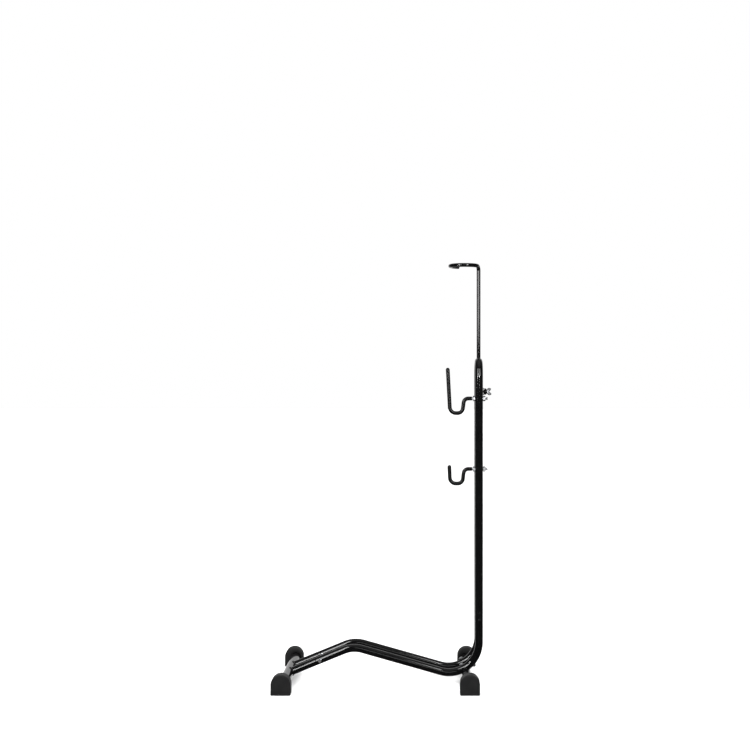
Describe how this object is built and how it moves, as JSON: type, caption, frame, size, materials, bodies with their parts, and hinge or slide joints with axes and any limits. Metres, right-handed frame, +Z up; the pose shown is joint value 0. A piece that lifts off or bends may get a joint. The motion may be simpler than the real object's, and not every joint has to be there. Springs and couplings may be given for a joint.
{
  "type": "bicycle stand",
  "caption": "Free-standing floor stand for one bicycle: bent tube rails cradle the rear wheel, a tube hoop and sliding mast with an open ring hold the front wheel.",
  "frame": {"origin": "on the floor, at the middle of the overall box", "axes": "+Z up, +X from the front foot to the hoop and mast at the rear, +Y to the left side; the J hooks are on the right leg, at -Y"},
  "size_m": [0.604, 0.4, 1.1789],
  "materials": {
    "gloss_black": "gloss black powder coat on steel tube and rod",
    "black_vinyl": "satin black dipped vinyl",
    "grey_plastic": "fine-grained matt moulded plastic, very dark grey",
    "bright_zinc": "bright zinc plate"
  },
  "bodies": {
    "stand": {"front_foot_bar": "gloss_black", "rear_foot_bar": "gloss_black", "front_stub_left": "gloss_black", "front_stub_right": "gloss_black", "base_rail_left": "gloss_black", "base_rail_right": "gloss_black", "upright_hoop": "gloss_black", "clamp_bar": "gloss_black", "clamp_nut": "gloss_black", "front_left_foot_cap": "grey_plastic", "front_right_foot_cap": "grey_plastic", "rear_left_foot_cap": "grey_plastic", "rear_right_foot_cap": "grey_plastic", "upper_hook_front_nut": "bright_zinc", "upper_hook_rear_nut": "bright_zinc", "lower_hook_front_nut": "bright_zinc", "lower_hook_rear_nut": "bright_zinc", "front_joint_bolt_left": "bright_zinc", "front_joint_bolt_right": "bright_zinc", "front_joint_nut_left": "bright_zinc", "front_joint_nut_right": "bright_zinc", "hoop_screw_left": "gloss_black", "hoop_screw_right": "gloss_black", "rear_bar_bolt_left": "bright_zinc", "rear_bar_bolt_right": "bright_zinc", "rear_bar_nut_left": "bright_zinc", "rear_bar_nut_right": "bright_zinc"},
    "mast_foot": {"mast_end_cap": "black_vinyl"},
    "mast": {"mast": "gloss_black"},
    "clamp_screw": {"clamp_wing_bolt": "bright_zinc"},
    "upper_hook": {"upper_hook_rod": "bright_zinc", "upper_hook_sleeve": "black_vinyl"},
    "lower_hook": {"lower_hook_rod": "bright_zinc", "lower_hook_sleeve": "black_vinyl"}
  },
  "joints": [
    {"name": "mast_height", "type": "slide", "parent": "stand", "child": "mast_foot", "axis": [0, 0, 1], "range_m": [-0.2, 0.1]},
    {"name": "mast_swivel", "type": "hinge", "parent": "mast_foot", "child": "mast", "pos_m": [0.266, 0, 0.9], "axis": [0, 0, 1], "continuous": true},
    {"name": "clamp_turn", "type": "hinge", "parent": "stand", "child": "clamp_screw", "pos_m": [0.29, 0, 0.817], "axis": [1, 0, 0], "continuous": true},
    {"name": "upper_hook_swivel", "type": "hinge", "parent": "stand", "child": "upper_hook", "pos_m": [0.27, -0.04, 0.798], "axis": [1, 0, 0], "range_deg": [-90, 90]},
    {"name": "lower_hook_swivel", "type": "hinge", "parent": "stand", "child": "lower_hook", "pos_m": [0.27, -0.04, 0.6], "axis": [1, 0, 0], "range_deg": [-90, 90]}
  ]
}
